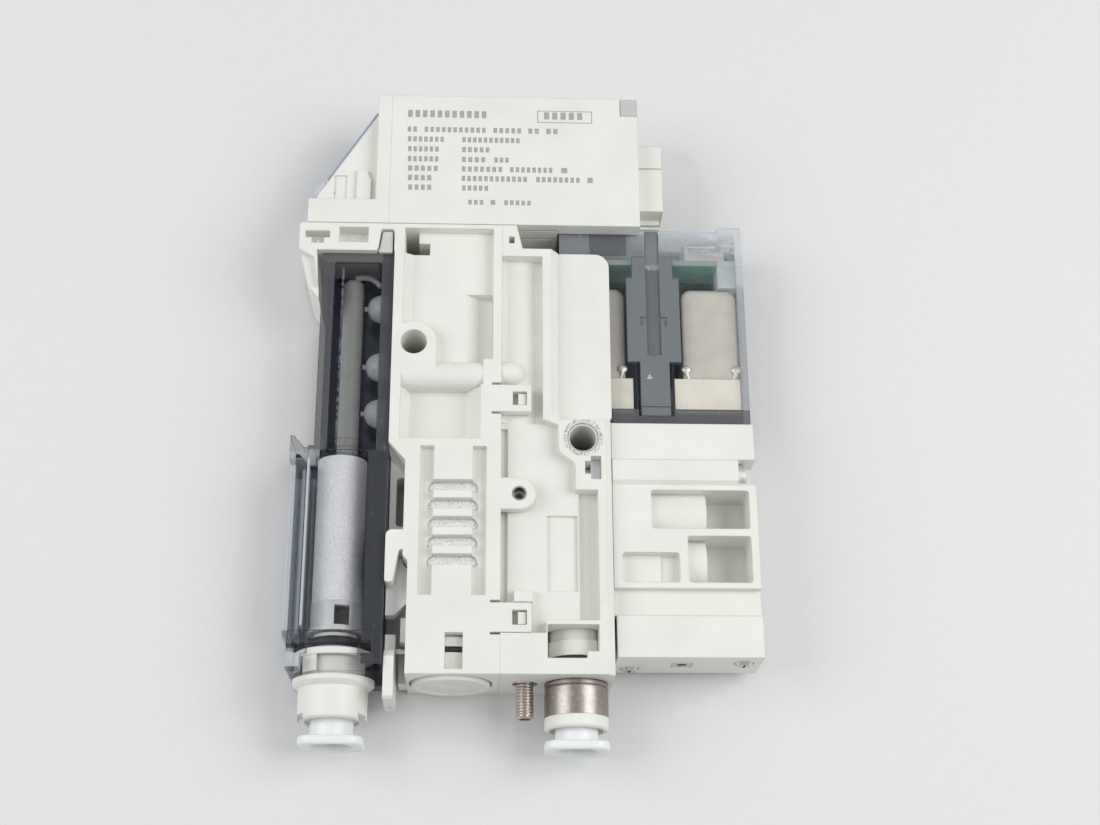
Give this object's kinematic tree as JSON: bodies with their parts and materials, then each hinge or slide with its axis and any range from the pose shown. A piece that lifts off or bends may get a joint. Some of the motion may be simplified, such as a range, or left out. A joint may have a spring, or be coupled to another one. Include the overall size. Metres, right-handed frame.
{
  "type": "vacuum ejector",
  "caption": "Slim vacuum generator with supply and vacuum tube ports, suction filter in a clear case, pilot valves under a clear cover, silencer louvres and a pressure switch.",
  "frame": {"origin": "axis of the lower mounting hole at the back face", "axes": "+X towards the pilot valves, +Y away from the tube ports, +Z out of the front face, along the mounting holes"},
  "size_m": [0.0771, 0.1157, 0.015],
  "materials": {
    "white_plastic": "satin moulded, warm white",
    "button_plastic": "satin moulded, cool white",
    "cream_plastic": "satin moulded, cream",
    "grey_plastic": "satin moulded, mid grey",
    "dark_grey_plastic": "satin moulded, dark grey",
    "smoke_clear": "smoke-tinted clear polycarbonate",
    "frosted_clear": "frosted translucent",
    "display_sheet": "blue-grey printed sheet",
    "lcd_glass": "dark display glass",
    "button_clear": "glossy pale blue",
    "mint_clear": "pale mint clear light guide",
    "foam": "white open-cell sound absorber",
    "filter_felt": "white porous sintered tube",
    "silicone": "pale translucent rubber",
    "seal_rubber": "black nitrile rubber",
    "steel": "bright steel",
    "nickel": "nickel plate, warm",
    "brass": "plain brass",
    "aluminium": "turned aluminium",
    "coil_can": "warm grey satin",
    "solder": "bright solder",
    "circuit_green": "green solder mask"
  },
  "bodies": {
    "unit": {"ejector_body": "white_plastic", "valve_body": "white_plastic", "pilot_valve_block": "white_plastic", "valve_end_cover": "white_plastic", "switch_case": "white_plastic", "display_housing": "white_plastic", "port_adapter": "white_plastic", "supply_port_collar": "white_plastic", "supply_fitting_body": "white_plastic", "silencer_cap": "white_plastic", "cable_connector": "white_plastic", "seam_eyelet": "steel", "nozzle": "brass", "diffuser": "grey_plastic", "silencer_element": "foam", "cap_seal": "seal_rubber", "needle_bush": "brass", "supply_fitting_seal": "seal_rubber", "supply_port_sleeve": "nickel", "adapter_seal": "seal_rubber", "grip_rings": "steel", "tube_seals": "seal_rubber", "filter_case": "smoke_clear", "filter_element": "filter_felt", "filter_holder": "frosted_clear", "passage_tube": "grey_plastic", "check_valves": "silicone", "case_catch": "frosted_clear", "lever_pin": "steel", "latch_plate": "frosted_clear", "valve_gasket": "seal_rubber", "end_cover_screws": "steel", "square_nut": "steel", "tie_screw": "steel", "tie_screw_nut": "steel", "spool_springs": "steel", "pilot_cover": "smoke_clear", "pilot_cover_latch": "dark_grey_plastic", "pilot_coil_left": "coil_can", "pilot_coil_right": "coil_can", "coil_bobbins": "cream_plastic", "coil_leads": "solder", "pilot_board": "circuit_green", "plug_connector": "cream_plastic", "display_window": "display_sheet", "lcd_panel": "lcd_glass", "switch_board": "circuit_green", "pressure_sensor": "steel", "connector_pins": "brass", "indicator_lens": "mint_clear", "corner_insert": "grey_plastic"},
    "vacuum_button": {"vacuum_port_button": "button_plastic"},
    "supply_button": {"supply_port_button": "button_plastic"},
    "needle": {"release_needle": "nickel"},
    "lever": {"lock_lever": "white_plastic"},
    "up_key": {"up_button": "button_clear"},
    "set_key": {"set_button": "button_clear"},
    "down_key": {"down_button": "button_clear"},
    "supply_spool": {"supply_valve_spool": "aluminium"},
    "release_spool": {"release_valve_spool": "aluminium"}
  },
  "joints": [
    {"name": "vacuum_button_press", "type": "slide", "parent": "unit", "child": "vacuum_button", "axis": [0, 1, 0], "range_m": [0, 0.0012], "stiffness_N_per_m": 100},
    {"name": "supply_button_press", "type": "slide", "parent": "unit", "child": "supply_button", "axis": [0, 1, 0], "range_m": [0, 0.0012], "stiffness_N_per_m": 100},
    {"name": "release_flow_turn", "type": "hinge", "parent": "unit", "child": "needle", "pos_m": [-0.0094, -0.04, 0.0075], "axis": [0, 1, 0], "range_deg": [0, 2160]},
    {"name": "lock_lever_lift", "type": "hinge", "parent": "unit", "child": "lever", "pos_m": [-0.031, -0.0345, 0.008], "axis": [1, 0, 0], "range_deg": [-70, 0]},
    {"name": "supply_spool_shift", "type": "slide", "parent": "unit", "child": "supply_spool", "axis": [1, 0, 0], "range_m": [0, 0.0015], "stiffness_N_per_m": 100},
    {"name": "release_spool_shift", "type": "slide", "parent": "unit", "child": "release_spool", "axis": [1, 0, 0], "range_m": [0, 0.0015], "stiffness_N_per_m": 100},
    {"name": "up_key_press", "type": "slide", "parent": "unit", "child": "up_key", "axis": [0.8525, -0.5227, 0], "range_m": [0, 0.0003], "stiffness_N_per_m": 20},
    {"name": "set_key_press", "type": "slide", "parent": "unit", "child": "set_key", "axis": [0.8525, -0.5227, 0], "range_m": [0, 0.0003], "stiffness_N_per_m": 20},
    {"name": "down_key_press", "type": "slide", "parent": "unit", "child": "down_key", "axis": [0.8525, -0.5227, 0], "range_m": [0, 0.0003], "stiffness_N_per_m": 20}
  ]
}
